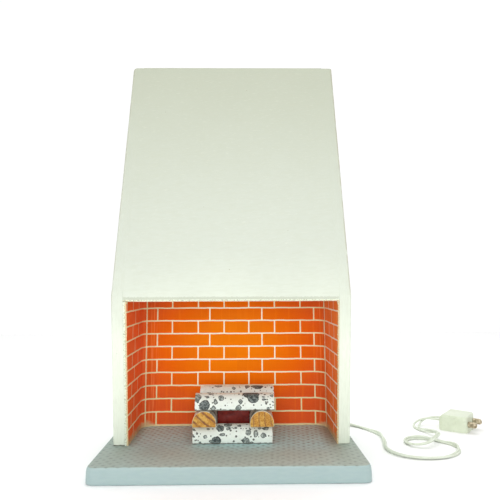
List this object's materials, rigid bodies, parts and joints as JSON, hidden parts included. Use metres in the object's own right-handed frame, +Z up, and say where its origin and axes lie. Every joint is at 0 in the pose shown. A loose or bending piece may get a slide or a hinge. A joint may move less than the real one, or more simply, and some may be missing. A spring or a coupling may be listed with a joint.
{
  "type": "dolls house hooded fireplace",
  "caption": "Dolls' house hooded fireplace: sloping white hood on a grey hearth, brick-printed firebox, birch-paper logs over a small lamp, thin lead with a two-pin plug.",
  "frame": {"origin": "middle of the underside of the hearth base", "axes": "+Z up, -Y towards the front of the fireplace, +X to the right as one faces the fire"},
  "size_m": [0.1269, 0.0657, 0.1288],
  "materials": {
    "painted_wood": "cream-white brushed satin paint on board, edges softened by the paint",
    "bare_wood": "bare softwood",
    "painted_hardboard": "light blue-grey paint, smooth edges, top face with the dimpled screen texture of hardboard",
    "back_board": "thin hardboard, brown, slightly fibrous",
    "brick_card": "card printed with orange-red bricks and cream joints, satin",
    "plain_card": "grey-brown pasteboard",
    "log_wood": "ochre wood with dark grain strokes",
    "birch_bark_paper": "white paper printed with round grey-green birch spots",
    "red_film": "dark red transparent film, glossy",
    "bulb_glass": "clear glass",
    "brass": "dull brass",
    "holder_plastic": "black moulded plastic",
    "bush_plastic": "off-white moulded plastic",
    "lead_plastic": "off-white soft PVC",
    "plug_plastic": "off-white moulded plastic, slightly glossy"
  },
  "bodies": {
    "root": {"back_panel": "back_board", "brick_liner": "brick_card", "bulb_cap": "brass", "bulb_glass": "bulb_glass", "cord_bush": "bush_plastic", "cord_lead": "lead_plastic", "ember_film": "red_film", "firebox_ceiling": "plain_card", "hearth_base": "painted_hardboard", "hood_front": "painted_wood", "hood_top": "painted_wood", "inner_lead": "lead_plastic", "lamp_holder": "holder_plastic", "lintel_batten": "bare_wood", "log_back_lower_bark": "birch_bark_paper", "log_back_lower_core": "log_wood", "log_back_upper_bark": "birch_bark_paper", "log_back_upper_core": "log_wood", "log_cross_left_bark": "birch_bark_paper", "log_cross_left_core": "log_wood", "log_cross_right_bark": "birch_bark_paper", "log_cross_right_core": "log_wood", "log_front_lower_bark": "birch_bark_paper", "log_front_lower_core": "log_wood", "log_front_upper_bark": "birch_bark_paper", "log_front_upper_core": "log_wood", "plug_body": "plug_plastic", "plug_pins": "brass", "side_panel_left": "painted_wood", "side_panel_right": "painted_wood"}
  },
  "joints": []
}
